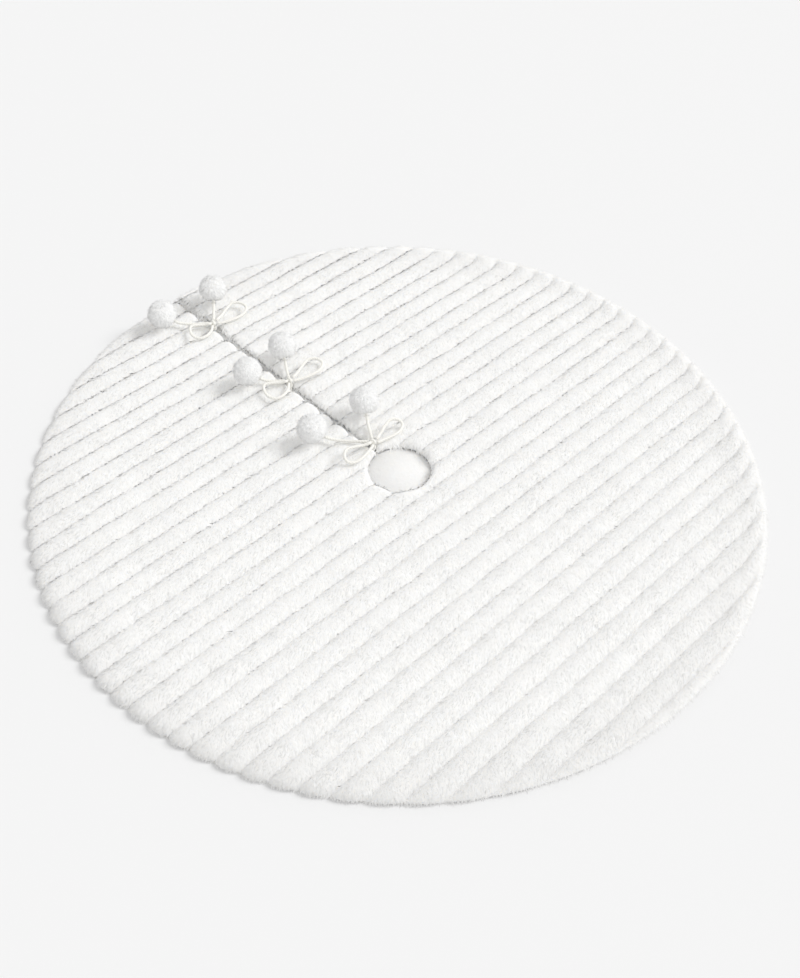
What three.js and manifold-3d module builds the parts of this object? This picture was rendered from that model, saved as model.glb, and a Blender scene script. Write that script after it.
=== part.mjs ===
// Round faux-fur tree skirt with three bow ties and six pompoms.
// Millimetres, +Z up. The origin is the middle of the disc on the floor, and the slit runs along +Y.

import * as THREE from 'three';
import { mergeVertices } from 'three/addons/utils/BufferGeometryUtils.js';
import Module from 'manifold-3d';

const wasm = await Module();
wasm.setup();

// ---------- Driving dimensions ----------

const SKIRT_D = 1220;          // rim to rim, 48 in
const HOLE_D = 108;            // trunk hole
const SLIT_GAP = 11;           // between the two flaps, at the backing
const BACKING_T = 1.5;         // lining cloth
const FUR_T = 18.2;            // fur ground and pile, up to a rib's crest
const RIB_PITCH = 37.2;        // one channelled rib to the next
const RIB_SHIFT = 5.3;         // a groove's distance from the middle, along the slit
const RIB_TURN_DEG = -1.2;     // the channels run this far out of square with the slit
const GROOVE_DEPTH = 7;        // crest to groove
const RIM_ROUND = 26;          // how far in from the rim the pile begins to fall
const EDGE_ROUND = 7;          // how far the pile falls back at the hole and the slit

const CORD_D = 5;              // tie cord
const KNOT_WIDTH = 2.8;        // a pulled-up bow knot's width, in cords
const KNOT_LIFT = 4;           // the knot's middle above the ribs' crests
const POMPOM_D = 57;           // over the fur
const POMPOM_WALL = 8.5;       // pompom's fur ground and pile
const NECK_D = 8;              // mouth of the pompom, gathered round its cord
const NECK_DROP_DEG = 40;      // the neck looks down towards the knot by this much
const THREAD_D = 1;            // seam thread

const LAY_GAP = 0.3;           // clearance between pieces that lie on each other
const REST_GAP = 0.5;          // clearance under a pompom
const SWING_GAP = 2;           // clearance between a cord's end and its pompom
const CLOSING_LENGTH = 120;    // run of closing stitches on the rim

// Each tie: its knot's place, and for each side the loop's length, width and tilt (how high its
// outer strand stands above its inner one) and the pompom's place from the knot.
const TIES = [
  {
    name: 'inner', knot: [1, 66],
    right: { loop: { length: 66, width: 24, tilt: 9 }, pompom: [41, 64] },
    left: { loop: { length: 64, width: 26, tilt: 8 }, pompom: [-70, 76] },
  },
  {
    name: 'middle', knot: [-1, 277],
    right: { loop: { length: 74, width: 30, tilt: 5 }, pompom: [34, 56] },
    left: { loop: { length: 54, width: 38, tilt: 5 }, pompom: [-55, 48] },
  },
  {
    name: 'outer', knot: [-1, 490],
    right: { loop: { length: 74, width: 32, tilt: 6 }, pompom: [45, 53] },
    left: { loop: { length: 50, width: 34, tilt: 5 }, pompom: [-69, 60] },
  },
];

const DISC_SEGMENTS = 72;
const HOLE_SEGMENTS = 32;
const BALL_SEGMENTS = 14;
const CORD_SIDES = 8;
const BALL_STEPS = 7;          // rings of facets from pole to pole

// ---------- Sizes that follow ----------

const RIM_R = SKIRT_D / 2;
const HOLE_R = HOLE_D / 2;
const FUR_FLOOR = BACKING_T + LAY_GAP;
const CREST_Z = FUR_FLOOR + FUR_T;
const GROOVE_Z = CREST_Z - GROOVE_DEPTH;
const RIM_TUCK = 3;                                   // the rim's widest line stands out past its foot
const SEAM_W = THREAD_D + 2 * LAY_GAP + 0.2;          // room the seam thread takes under the fur's edge
const CORD_R = CORD_D / 2;
const KNOT_R = (KNOT_WIDTH * CORD_D) / 2;
const KNOT_Z = CREST_Z + KNOT_LIFT;
const CORD_Z = CREST_Z + LAY_GAP + CORD_R;
const POMPOM_R = POMPOM_D / 2;
const POMPOM_Z = CREST_Z + REST_GAP + POMPOM_R;
const NECK_DROP = THREE.MathUtils.degToRad(NECK_DROP_DEG);
const CORD_START = KNOT_R + 2 * LAY_GAP;              // from the knot's middle to a cord's cut end
const LEAD_X = SLIT_GAP / 2 - LAY_GAP - CORD_R;       // the two leads pass each other in the slit
const LEAD_Y = CORD_R + 1.5;

// ---------- Colours ----------

const furWhite = new THREE.MeshStandardMaterial({ color: 0xf4f4f2, roughness: 0.95, metalness: 0 });
const liningWhite = new THREE.MeshStandardMaterial({ color: 0xe9e9e6, roughness: 0.85, metalness: 0 });
const threadWhite = new THREE.MeshStandardMaterial({ color: 0xf0f0ec, roughness: 0.6, metalness: 0 });
const cordIvory = new THREE.MeshStandardMaterial({ color: 0xefe9dc, roughness: 0.8, metalness: 0 });
const fibreWhite = new THREE.MeshStandardMaterial({ color: 0xf6f6f6, roughness: 0.9, metalness: 0 });

const skirt = new THREE.Group();

function add(name, geometry, material) {
  const mesh = new THREE.Mesh(geometry, material);
  mesh.name = name;
  skirt.add(mesh);
  return mesh;
}

// ---------- Solids: to and from manifold ----------

function solid(geometry) {
  const bare = geometry.index ? geometry.toNonIndexed() : geometry.clone();
  bare.deleteAttribute('normal');
  bare.deleteAttribute('uv');
  const merged = mergeVertices(bare, 1e-4);
  return new wasm.Manifold(new wasm.Mesh({
    numProp: 3,
    vertProperties: new Float32Array(merged.attributes.position.array),
    triVerts: new Uint32Array(merged.index.array),
  }));
}

function geometryOf(manifold) {
  const mesh = manifold.getMesh();
  const geometry = new THREE.BufferGeometry();
  geometry.setAttribute('position', new THREE.BufferAttribute(mesh.vertProperties, 3));
  geometry.setIndex(new THREE.BufferAttribute(mesh.triVerts, 1));
  return geometry;
}

// A profile of (radius, height) points spun about Z.
function spun(points, segments) {
  const profile = points.map(([r, z]) => new THREE.Vector2(r, z));
  return new THREE.LatheGeometry(profile, segments).rotateX(Math.PI / 2);
}

// ---------- The skirt's outline ----------

// A disc with a round hole and a slit from the hole to the rim along +Y.
function keyhole(outerR, holeR, halfGap) {
  const rimAngle = Math.asin(halfGap / outerR);
  const holeAngle = Math.asin(halfGap / holeR);
  const up = Math.PI / 2;
  const shape = new THREE.Shape();
  shape.absarc(0, 0, outerR, up + rimAngle, up - rimAngle + 2 * Math.PI, false);
  shape.absarc(0, 0, holeR, up - holeAngle, up + holeAngle - 2 * Math.PI, true);
  shape.closePath();
  return shape;
}

function slab(shape, bottom, thickness) {
  const options = { depth: thickness, bevelEnabled: false, curveSegments: DISC_SEGMENTS / 2 };
  return new THREE.ExtrudeGeometry(shape, options).translate(0, 0, bottom);
}

// ---------- Fur face: a round disc of channelled pile, cut for the trunk and the slit ----------

// The ribs' cross-section, run out past the rim on both sides.
function ribField() {
  const reach = SKIRT_D * 0.6;
  const sections = [[0, 0], [0.12, 0.6], [0.3, 1], [0.7, 1], [0.88, 0.6]];
  const first = Math.floor((-reach - RIB_SHIFT) / RIB_PITCH);
  const last = Math.ceil((reach - RIB_SHIFT) / RIB_PITCH);
  const outline = new THREE.Shape();
  outline.moveTo(RIB_SHIFT + last * RIB_PITCH, GROOVE_Z);
  outline.lineTo(RIB_SHIFT + last * RIB_PITCH, 0);
  outline.lineTo(RIB_SHIFT + first * RIB_PITCH, 0);
  for (let rib = first; rib < last; rib += 1) {
    for (const [along, height] of sections) {
      outline.lineTo(RIB_SHIFT + (rib + along) * RIB_PITCH, GROOVE_Z + height * GROOVE_DEPTH);
    }
  }
  outline.closePath();
  const field = new THREE.ExtrudeGeometry(outline, { depth: 2 * reach, bevelEnabled: false });
  const turn = THREE.MathUtils.degToRad(RIB_TURN_DEG);
  const acrossRibs = new THREE.Vector3(0, 1, 0);
  const up = new THREE.Vector3(0, 0, 1);
  const alongRibs = new THREE.Vector3(1, 0, 0);
  return field
    .translate(0, 0, -reach)
    .applyMatrix4(new THREE.Matrix4().makeBasis(acrossRibs, up, alongRibs))
    .rotateZ(turn);
}

function rimRoundedDisc() {
  const top = CREST_Z + 1;
  return spun([
    [0, FUR_FLOOR],
    [RIM_R - RIM_TUCK, FUR_FLOOR],
    [RIM_R, FUR_FLOOR + 0.25 * FUR_T],
    [RIM_R - 0.15 * RIM_ROUND, FUR_FLOOR + 0.6 * FUR_T],
    [RIM_R - 0.5 * RIM_ROUND, FUR_FLOOR + 0.88 * FUR_T],
    [RIM_R - RIM_ROUND, top],
    [0, top],
  ], DISC_SEGMENTS);
}

// Half of an opening's section: straight up through the ground, then opening out with the pile.
function openingWall(half) {
  return [
    [half, -1],
    [half, FUR_FLOOR + 0.5 * FUR_T],
    [half + 0.35 * EDGE_ROUND, FUR_FLOOR + 0.82 * FUR_T],
    [half + EDGE_ROUND, CREST_Z],
    [half + 1.4 * EDGE_ROUND, CREST_Z + 2],
  ];
}

function trunkCut() {
  const wall = openingWall(HOLE_R);
  const top = wall[wall.length - 1][1];
  return spun([[0, -1], ...wall, [0, top]], HOLE_SEGMENTS);
}

function slitCut() {
  const right = openingWall(SLIT_GAP / 2);
  const left = right.map(([x, z]) => [-x, z]).reverse();
  const section = new THREE.Shape([...right, ...left].map(([x, z]) => new THREE.Vector2(x, z)));
  const reach = RIM_R + RIM_ROUND;
  return new THREE.ExtrudeGeometry(section, { depth: reach, bevelEnabled: false })
    .rotateX(Math.PI / 2)
    .translate(0, reach, 0);
}

const openings = solid(trunkCut()).add(solid(slitCut()));
const furFace = solid(ribField()).intersect(solid(rimRoundedDisc())).subtract(openings);
add('fur_face', geometryOf(furFace), furWhite);

// ---------- Backing and the seam that joins it to the fur ----------

const BACKING_R = RIM_R - RIM_TUCK - SEAM_W;
const BACKING_HOLE_R = HOLE_R + SEAM_W;
const BACKING_HALF_GAP = SLIT_GAP / 2 + SEAM_W;
const backingShape = keyhole(BACKING_R, BACKING_HOLE_R, BACKING_HALF_GAP);
add('backing', slab(backingShape, 0, BACKING_T), liningWhite);

const threadBottom = (BACKING_T - THREAD_D) / 2;

// One run of thread along the rim, both flaps and the hole, just outside the backing's edge.
function seamThread() {
  const near = LAY_GAP;
  const far = LAY_GAP + THREAD_D;
  const shape = keyhole(BACKING_R + far, BACKING_HOLE_R - far, BACKING_HALF_GAP - far);
  const inside = keyhole(BACKING_R + near, BACKING_HOLE_R - near, BACKING_HALF_GAP - near);
  shape.holes.push(inside);
  return slab(shape, threadBottom, THREAD_D);
}
add('edge_seam_thread', seamThread(), threadWhite);

// The rim is closed by hand where the skirt was turned right side out, opposite the slit.
function closingStitches() {
  const innerR = BACKING_R + 2 * LAY_GAP + THREAD_D;
  const outerR = innerR + THREAD_D;
  const half = CLOSING_LENGTH / 2 / innerR;
  const middle = -Math.PI / 2;
  const shape = new THREE.Shape();
  shape.absarc(0, 0, outerR, middle - half, middle + half, false);
  shape.absarc(0, 0, innerR, middle + half, middle - half, true);
  shape.closePath();
  const options = { depth: THREAD_D, bevelEnabled: false, curveSegments: 8 };
  return new THREE.ExtrudeGeometry(shape, options).translate(0, 0, threadBottom);
}
add('closing_stitches', closingStitches(), threadWhite);

// ---------- Cords ----------

function roundSection(radius, sides) {
  const points = [];
  for (let i = 0; i < sides; i += 1) {
    const angle = (2 * Math.PI * i) / sides;
    points.push(new THREE.Vector2(radius * Math.cos(angle), radius * Math.sin(angle)));
  }
  return new THREE.Shape(points);
}

function cord(points, steps) {
  const route = new THREE.CatmullRomCurve3(points, false, 'centripetal');
  const options = { steps, bevelEnabled: false, extrudePath: route };
  return new THREE.ExtrudeGeometry(roundSection(CORD_R, CORD_SIDES), options);
}

// The cord's end, sewn into the seam, comes up through the slit to the knot.
function leadPoints(knot, side) {
  const x = side * LEAD_X;
  const y = knot.y + side * LEAD_Y;
  const towardsEnd = new THREE.Vector3(0, side * 0.42, -0.9).normalize();
  return [
    new THREE.Vector3(x, y, FUR_FLOOR + LAY_GAP),
    new THREE.Vector3(x, y, FUR_FLOOR + 0.4 * FUR_T),
    knot.clone().addScaledVector(towardsEnd, CORD_START + CORD_R),
    knot.clone().addScaledVector(towardsEnd, CORD_START),
  ];
}

// A bow loop: out along its outer strand, round the tip, and back along its inner strand.
function loopPoints(knot, side, { length, width, tilt }) {
  const rest = CORD_Z - knot.z;
  const at = (along, across, up) => new THREE.Vector3(
    knot.x + side * along, knot.y + across, knot.z + up,
  );
  const outerEnd = new THREE.Vector3(1, -0.1, 0.45).normalize();
  const innerEnd = new THREE.Vector3(0.76, -0.66, -0.05).normalize();
  const from = (end, distance) => at(end.x * distance, end.y * distance, end.z * distance);
  return [
    from(outerEnd, CORD_START),
    from(outerEnd, CORD_START + CORD_R),
    at(0.3 * length, 0.12 * width, 0.25 * tilt + 1),
    at(0.55 * length, 0.34 * width, 0.75 * tilt + rest + 1.5),
    at(0.8 * length, 0.46 * width, tilt + rest + 1),
    at(0.97 * length, 0.18 * width, 0.75 * tilt + rest + 0.5),
    at(length, -0.18 * width, 0.3 * tilt + rest),
    at(0.86 * length, -0.46 * width, rest),
    at(0.58 * length, -0.52 * width, rest),
    at(0.3 * length, -0.38 * width, rest + 0.3),
    from(innerEnd, CORD_START + CORD_R),
    from(innerEnd, CORD_START),
  ];
}

// A tail: over the fur to its pompom, then up into the neck.
function tailPoints(knot, pompom, pivot) {
  const run = new THREE.Vector3(pompom.x - knot.x, pompom.y - knot.y, 0).normalize();
  const reach = Math.hypot(pivot.x - knot.x, pivot.y - knot.y);
  const at = (distance, z) => knot.clone().addScaledVector(run, distance).setZ(z);
  const rise = pivot.z - CORD_Z;
  return [
    at(CORD_START, knot.z - 0.3),
    at(0.3 * reach, CORD_Z + 0.5),
    at(0.55 * reach, CORD_Z),
    at(0.82 * reach, CORD_Z + 0.3 * rise),
    pivot.clone(),
  ];
}

// ---------- Pompoms: a gathered fur cover, its stuffing and the gathering thread ----------

function arc(radius, from, to, steps) {
  const points = [];
  for (let i = 0; i <= steps; i += 1) {
    const angle = from + ((to - from) * i) / steps;
    points.push([radius * Math.sin(angle), radius * Math.cos(angle)]);
  }
  return points;
}

// The cover's neck looks along +Z before it is turned to its cord.
function pompomCover() {
  const innerR = POMPOM_R - POMPOM_WALL;
  const mouth = Math.asin(NECK_D / 2 / POMPOM_R);
  const innerMouth = Math.asin(NECK_D / 2 / innerR);
  const outside = arc(POMPOM_R, Math.PI, mouth, BALL_STEPS);
  const inside = arc(innerR, innerMouth, Math.PI, BALL_STEPS);
  outside[0][0] = 0;
  inside[inside.length - 1][0] = 0;
  return spun([...outside, ...inside], BALL_SEGMENTS);
}

// The ball fits inside the flats of the cover's faceted wall.
function pompomStuffing() {
  const flats = Math.cos(Math.PI / BALL_SEGMENTS) * Math.cos(Math.PI / (2 * BALL_STEPS));
  const radius = (POMPOM_R - POMPOM_WALL) * flats - LAY_GAP;
  return new THREE.SphereGeometry(radius, BALL_SEGMENTS - 2, BALL_STEPS);
}

function gatherThread() {
  const outer = NECK_D / 2 - LAY_GAP;
  const inner = outer - THREAD_D;
  const top = POMPOM_R - 2 * THREAD_D;
  const bottom = top - THREAD_D;
  return spun([[inner, bottom], [outer, bottom], [outer, top], [inner, top], [inner, bottom]], 12);
}

function barTack(knot, side) {
  const width = SLIT_GAP / 2 - 4 * LAY_GAP;
  const tack = new THREE.BoxGeometry(width, CORD_D, THREAD_D);
  const middle = threadBottom + THREAD_D / 2;
  return tack.translate((side * SLIT_GAP) / 4, knot.y + side * LEAD_Y, middle);
}

// ---------- The three ties ----------

for (const tie of TIES) {
  const knot = new THREE.Vector3(tie.knot[0], tie.knot[1], KNOT_Z);
  const ball = add(`${tie.name}_knot`, new THREE.SphereGeometry(KNOT_R, 12, 8), cordIvory);
  ball.position.copy(knot);

  for (const [sideName, side] of [['left', -1], ['right', 1]]) {
    const prefix = `${tie.name}_${sideName}`;
    const { loop, pompom: place } = tie[sideName];
    const centre = new THREE.Vector3(knot.x + place[0], knot.y + place[1], POMPOM_Z);
    const run = new THREE.Vector3(place[0], place[1], 0).normalize();
    const neck = run.clone().multiplyScalar(-Math.cos(NECK_DROP)).setZ(-Math.sin(NECK_DROP));
    const pivot = centre.clone().addScaledVector(neck, POMPOM_R + SWING_GAP);

    add(`${prefix}_bar_tack`, barTack(knot, side), threadWhite);
    add(`${prefix}_lead`, cord(leadPoints(knot, side), 5), cordIvory);
    add(`${prefix}_loop`, cord(loopPoints(knot, side, loop), 20), cordIvory);
    add(`${prefix}_tail`, cord(tailPoints(knot, centre, pivot), 8), cordIvory);

    const turned = new THREE.Quaternion().setFromUnitVectors(new THREE.Vector3(0, 0, 1), neck);
    const pieces = [
      ['pompom_cover', pompomCover(), furWhite],
      ['pompom_stuffing', pompomStuffing(), fibreWhite],
      ['pompom_gather_thread', gatherThread(), threadWhite],
    ];
    for (const [name, geometry, material] of pieces) {
      const mesh = add(`${prefix}_${name}`, geometry, material);
      mesh.position.copy(centre);
      mesh.quaternion.copy(turned);
    }
  }
}

export default skirt;
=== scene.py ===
# %% [markdown]
# # A round faux-fur tree skirt, tied with three cord bows and six pompoms
# The skirt is a disc of channelled fur cloth on a plain lining, with a hole for the trunk and a
# slit from the hole to the rim. Three ties of ivory cord close the slit, and every cord ends in a
# fluffy pompom. This file dresses the ready-made frame: each hard fact, such as a knot's place,
# comes from there, and the softness, the pile and the finishes are made here.

from math import asin, cos, hypot, pi, radians, sin, sqrt

import bmesh
import bpy
import numpy as np
from mathutils import Matrix, Vector


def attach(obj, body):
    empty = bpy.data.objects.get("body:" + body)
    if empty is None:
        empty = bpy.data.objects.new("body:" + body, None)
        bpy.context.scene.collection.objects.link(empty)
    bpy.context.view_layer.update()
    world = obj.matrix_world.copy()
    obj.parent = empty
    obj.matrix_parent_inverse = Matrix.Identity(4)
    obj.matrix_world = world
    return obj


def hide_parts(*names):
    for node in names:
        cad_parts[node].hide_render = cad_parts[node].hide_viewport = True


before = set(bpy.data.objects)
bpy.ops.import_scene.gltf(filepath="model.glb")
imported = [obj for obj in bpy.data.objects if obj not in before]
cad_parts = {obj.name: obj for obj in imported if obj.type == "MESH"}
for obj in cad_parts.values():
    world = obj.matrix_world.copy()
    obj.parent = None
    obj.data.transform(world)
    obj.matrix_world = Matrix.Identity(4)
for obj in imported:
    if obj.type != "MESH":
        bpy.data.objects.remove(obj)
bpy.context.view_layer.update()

# %% [markdown]
# ## The camera
# The skirt lies on the floor and is seen from a standing person's height, across one corner. The
# camera looks down at about 48 degrees. Its turn is written as three directions, its right, its
# up and the way it looks, which is easier to read than three angles.

# %% Place the camera
CAMERA_PLACE = Vector((-0.98407, -0.92668, 1.48372))
CAMERA_RIGHT = Vector((0.706157, -0.707544, 0.026874))
CAMERA_UP = Vector((0.517433, 0.541584, 0.662532))
CAMERA_LOOK = Vector((0.483325, 0.453946, -0.748551))
LENS_MM = 43.716
SENSOR_MM = 36

camera = bpy.data.objects.new("camera", bpy.data.cameras.new("camera"))
camera.data.lens = LENS_MM
camera.data.sensor_width = SENSOR_MM
camera.matrix_world = Matrix.LocRotScale(
    CAMERA_PLACE,
    Matrix((CAMERA_RIGHT, CAMERA_UP, -CAMERA_LOOK)).transposed().to_quaternion(),
    None,
)
bpy.context.collection.objects.link(camera)
bpy.context.scene.camera = camera
print("camera", round(CAMERA_PLACE.length, 2), "m from the middle of the skirt")

# %% [markdown]
# ## Sizes
# A maker works in millimetres and Blender in metres, so MM turns one into the other. These are the
# sizes that the frame was cut to, and the cords' routes further down need them again.

# %% The skirt's sizes
MM = 0.001
SKIRT_R = 610 * MM
HOLE_R = 54 * MM
SLIT_HALF = 5.5 * MM
FUR_FLOOR = 1.8 * MM
FUR_T = 18.2 * MM
CREST_Z = FUR_FLOOR + FUR_T
RIB_PITCH = 37.2 * MM
RIB_SHIFT = 5.3 * MM
RIB_TURN = radians(-1.2)
CORD_R = 2.5 * MM
KNOT_R = 7 * MM
KNOT_Z = CREST_Z + 4 * MM
CORD_Z = CREST_Z + 2.8 * MM
CORD_START = KNOT_R + 0.6 * MM
POMPOM_R = 28.5 * MM
POMPOM_Z = CREST_Z + 0.5 * MM + POMPOM_R
SWING_GAP = 2 * MM
NECK_DROP = radians(40)
SEAM_W = 1.8 * MM
BACKING_T = 1.5 * MM

# Each tie: its knot, and for each side the loop's length, width and tilt and the pompom's place.
TIES = {
    "inner": ((1, 66), {"right": ((66, 24, 9), (41, 64)), "left": ((64, 26, 8), (-70, 76))}),
    "middle": ((-1, 277), {"right": ((74, 30, 5), (34, 56)), "left": ((54, 38, 5), (-55, 48))}),
    "outer": ((-1, 490), {"right": ((74, 32, 6), (45, 53)), "left": ((50, 34, 5), (-69, 60))}),
}
SIDES = {"left": -1, "right": 1}
BOTH = [(tie, side_name) for tie in TIES for side_name in SIDES]
print(len(TIES), "ties,", round(2 * SKIRT_R / MM), "mm skirt")

# %% [markdown]
# ## Writing materials as sums
# A material is a web of nodes. Wiring it by hand hides what it does, so one small class stands for
# a node's output and lets it be added or multiplied like a number. `Finish.node` adds any other
# node: its settings first, then what goes into its sockets.


# %% Sockets that work like numbers
class Wire:
    """An output socket. Sums on it add Math nodes."""

    def __init__(self, finish, socket):
        self.finish = finish
        self.socket = socket

    def sum(self, operation, first, second=None):
        inputs = {0: first} if second is None else {0: first, 1: second}
        return self.finish.node("ShaderNodeMath", {"operation": operation}, inputs)

    def __add__(self, other):
        return self.sum("ADD", self, other)

    def __rsub__(self, other):
        return self.sum("SUBTRACT", other, self)

    def __mul__(self, other):
        return self.sum("MULTIPLY", self, other)

    def __pow__(self, other):
        return self.sum("POWER", self, other)

    __radd__ = __add__
    __rmul__ = __mul__


class Finish:
    """A material being written."""

    def __init__(self, name):
        self.material = bpy.data.materials.new(name)
        self.material.use_nodes = True
        self.tree = self.material.node_tree
        self.tree.nodes.clear()

    def node(self, kind, settings=None, inputs=None, output=0):
        made = self.tree.nodes.new(kind)
        for name, value in (settings or {}).items():
            setattr(made, name, value)
        for name, value in (inputs or {}).items():
            if isinstance(value, Wire):
                self.tree.links.new(value.socket, made.inputs[name])
            else:
                made.inputs[name].default_value = value
        return Wire(self, made.outputs[output])

    def place(self):
        return self.node("ShaderNodeTexCoord", output="Object")

    def split(self, vector):
        """The first two numbers of a vector, such as x and y, or across and up the map."""
        kind = "ShaderNodeSeparateXYZ"
        return self.node(kind, None, {0: vector}, 0), self.node(kind, None, {0: vector}, 1)

    def noise(self, size, detail=2.0, roughness=0.5, at=None):
        """Soft noise from 0 to 1 whose blots are about `size` metres wide."""
        inputs = {"Vector": at or self.place(), "Scale": 1 / size, "Detail": detail}
        inputs["Roughness"] = roughness
        return self.node("ShaderNodeTexNoise", {"noise_dimensions": "3D"}, inputs, "Fac")

    def mix(self, share, first, second):
        """The first colour turning into the second as `share` goes from 0 to 1."""
        inputs = {"Factor": share, 6: first, 7: second}
        return self.node("ShaderNodeMix", {"data_type": "RGBA"}, inputs, 2)

    def bump(self, height, distance, strength=1.0):
        inputs = {"Height": height, "Distance": distance, "Strength": strength}
        return self.node("ShaderNodeBump", None, inputs)

    def surface(self, **sockets):
        """Ends the material in one Principled surface and returns it."""
        named = {name.replace("_", " ").title(): value for name, value in sockets.items()}
        if "Specular Ior Level" in named:
            named["Specular IOR Level"] = named.pop("Specular Ior Level")
        shader = self.node("ShaderNodeBsdfPrincipled", None, named)
        end = self.tree.nodes.new("ShaderNodeOutputMaterial")
        self.tree.links.new(shader.socket, end.inputs["Surface"])
        return self.material


print("materials are written with Finish and Wire")

# %% [markdown]
# ## The cord's finish
# The ties are soft ivory cord, twisted from three strands. The twist is real shape, made below, so
# the material only adds the fine fibres, as a small bump, and a slightly deeper ivory here and
# there, as handled cotton has.


# %% Cord and thread finishes
def cord_finish(name, light, deep, fibre):
    finish = Finish(name)
    blot = finish.noise(6 * MM, 3)
    fibres = finish.noise(fibre, 4, 0.65)
    colour = finish.mix(blot * 0.7 + fibres * 0.3, (*deep, 1), (*light, 1))
    return finish.surface(
        base_color=colour,
        roughness=0.75 + fibres * 0.2,
        normal=finish.bump(fibres, 0.25 * MM, 0.6),
        sheen_weight=0.25,
        sheen_roughness=0.5,
    )


tie_cord = cord_finish("tie_cord", (0.97, 0.96, 0.915), (0.90, 0.885, 0.83), 0.5 * MM)
sewing_thread = cord_finish("sewing_thread", (0.90, 0.89, 0.86), (0.78, 0.77, 0.73), 0.3 * MM)
print("finishes:", tie_cord.name, sewing_thread.name)

# %% [markdown]
# ## A smooth route through a few points
# A cord is drawn as a few points, and a smooth line is put through them. The frame used a
# centripetal Catmull-Rom line, which makes no loops or overshoots where the points are uneven, so
# the same line is used here, and the cords lie where the frame has them. The line is then walked
# in even steps, because the twist has to be even.


# %% Routes
def smooth_route(points, step):
    """Points one `step` apart on a centripetal Catmull-Rom line through `points`."""
    knots = np.array(points, float)
    knots = np.vstack([2 * knots[0] - knots[1], knots, 2 * knots[-1] - knots[-2]])
    line = [knots[1]]
    for before, start, end, after in zip(knots, knots[1:], knots[2:], knots[3:]):
        gaps = [
            max(np.linalg.norm(b - a) ** 0.5, 1e-4)
            for a, b in ((before, start), (start, end), (end, after))
        ]
        leave = (start - before) / gaps[0] - (end - before) / (gaps[0] + gaps[1])
        leave = (leave + (end - start) / gaps[1]) * gaps[1]
        arrive = (end - start) / gaps[1] - (after - start) / (gaps[1] + gaps[2])
        arrive = (arrive + (after - end) / gaps[2]) * gaps[1]
        for t in np.linspace(0, 1, 60)[1:]:
            place = start + leave * t
            place = place + (-3 * start + 3 * end - 2 * leave - arrive) * t**2
            place = place + (2 * start - 2 * end + leave + arrive) * t**3
            line.append(place)
    return even_steps(np.array(line), step)


def even_steps(line, step):
    """The same line, with points one `step` apart."""
    walked = np.r_[0, np.cumsum(np.linalg.norm(np.diff(line, axis=0), axis=1))]
    stops = np.linspace(0, walked[-1], max(2, round(walked[-1] / step) + 1))
    return np.stack([np.interp(stops, walked, line[:, axis]) for axis in range(3)], 1)


def length_of(line):
    return float(np.linalg.norm(np.diff(line, axis=0), axis=1).sum())


print("routes are walked in even steps")

# %% [markdown]
# ## Twisted cord
# A twisted cord can be modelled as three tubes wound round each other, or as one tube whose
# cross-section has three lobes and turns as it goes. The second has no hidden faces inside, and
# Blender's curves do it: a lobed outline is the curve's bevel shape, and each point's tilt turns
# it. The curve is then made a mesh.


# %% A maker for cords
def new_object(name, data, material):
    made = bpy.data.objects.new(name, data)
    bpy.context.collection.objects.link(made)
    if material:
        data.materials.append(material)
    return made


def poly_curve(name, points, closed=False):
    curve = bpy.data.curves.new(name, "CURVE")
    curve.dimensions = "3D"
    spline = curve.splines.new("POLY")
    spline.points.add(len(points) - 1)
    for point, place in zip(spline.points, points):
        point.co = (*place, 1)
    spline.use_cyclic_u = closed
    return curve


def twisted_cord(name, line, radius, material, lobes=3, turn_length=15 * MM, closed=False):
    """A mesh tube along `line`, with a lobed section that turns once in `turn_length`."""
    around = [2 * pi * i / (6 * lobes) for i in range(6 * lobes)]
    section = [(0.83 + 0.17 * abs(cos(lobes * a / 2))) * radius for a in around]
    outline = [(r * cos(a), r * sin(a), 0) for r, a in zip(section, around)]
    shape = new_object(name + "_section", poly_curve(name + "_section", outline, True), None)
    curve = poly_curve(name + "_line", line, closed)
    curve.bevel_mode = "OBJECT"
    curve.bevel_object = shape
    curve.use_fill_caps = not closed
    walked = 0.0
    points = curve.splines[0].points
    for i, point in enumerate(points):
        walked += float(np.linalg.norm(line[i] - line[i - 1])) if i else 0.0
        point.tilt = 2 * pi * walked / turn_length
    holder = new_object(name + "_line", curve, None)
    bpy.context.view_layer.update()
    ready = holder.evaluated_get(bpy.context.evaluated_depsgraph_get())
    mesh = bpy.data.meshes.new_from_object(ready)
    mesh.name = name
    for helper in (holder, shape):
        bpy.data.objects.remove(helper)
    mesh.materials.clear()
    made = new_object(name, mesh, material)
    tidy_mesh(made)
    return made


def mesh_from(name, work, smooth=True):
    """Ends a bmesh in a new mesh."""
    for face in work.faces:
        face.smooth = smooth
    mesh = bpy.data.meshes.new(name)
    work.to_mesh(mesh)
    work.free()
    return mesh


def tidy_mesh(made):
    """Welds doubles, turns the faces outwards and shades them smooth."""
    work = bmesh.new()
    work.from_mesh(made.data)
    bmesh.ops.remove_doubles(work, verts=work.verts, dist=1e-6)
    bmesh.ops.recalc_face_normals(work, faces=work.faces)
    for face in work.faces:
        face.smooth = True
    work.to_mesh(made.data)
    work.free()


print("cords are made with twisted_cord")

# %% [markdown]
# ## The ties
# Each tie is one bow. Its two loops and two tails come out of the knot, and each is its own piece,
# because each lifts on its own hinge. A loop goes out along its upper strand, round its tip and
# back along its lower one, and lies on the fur. A tail runs over the fur to its pompom. The short
# leads go from the knot down through the slit to the seam.


# %% Where the cords run
def unit(*parts):
    return np.array(parts) / np.linalg.norm(parts)


def knot_place(tie):
    x, y = TIES[tie][0]
    return np.array((x * MM, y * MM, KNOT_Z))


def pompom_place(tie, side_name):
    x, y = TIES[tie][1][side_name][1]
    return knot_place(tie) * (1, 1, 0) + (x * MM, y * MM, POMPOM_Z)


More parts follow.
